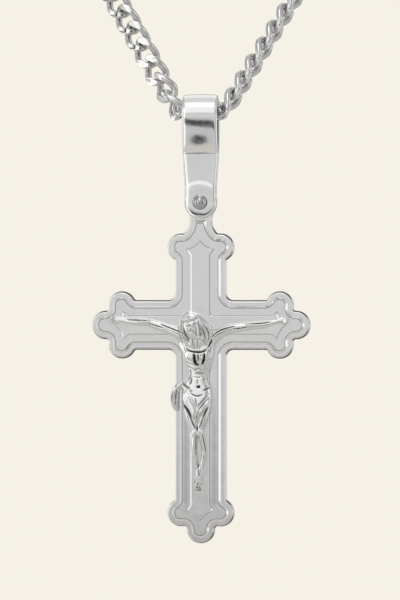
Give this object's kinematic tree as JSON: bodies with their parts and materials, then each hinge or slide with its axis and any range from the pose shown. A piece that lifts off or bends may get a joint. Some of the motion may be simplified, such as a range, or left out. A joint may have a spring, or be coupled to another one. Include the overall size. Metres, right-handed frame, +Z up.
{
  "type": "crucifix pendant on a curb chain",
  "caption": "Polished silver crucifix with budded arm ends and a cast figure, hung by a riveted strap bail on a whole curb chain that closes at the nape.",
  "frame": {"origin": "where the clasp rests against the nape of the neck, at the middle of its inner side", "axes": "+Z is up, -Y is forwards from the nape to the chest and the way the cross's front faces, +X is to the right as a viewer in front sees it"},
  "size_m": [0.1268, 0.112, 0.2182],
  "materials": {
    "chain_silver": "polished sterling silver with diamond-cut faces",
    "pendant_silver": "polished sterling silver"
  },
  "bodies": {
    "chain": {"chain": "chain_silver", "clasp": "chain_silver"},
    "bail": {"bail": "pendant_silver", "bail_rivet": "pendant_silver"},
    "cross": {"cross": "pendant_silver", "corpus": "pendant_silver"}
  },
  "joints": [
    {"name": "pendant_swing", "type": "hinge", "parent": "chain", "child": "bail", "pos_m": [0, -0.105, -0.158], "axis": [1, 0, 0], "range_deg": [-90, 90]},
    {"name": "cross_swing", "type": "hinge", "parent": "bail", "child": "cross", "pos_m": [0, -0.105, -0.17015], "axis": [0, 1, 0], "range_deg": [-90, 90]}
  ]
}
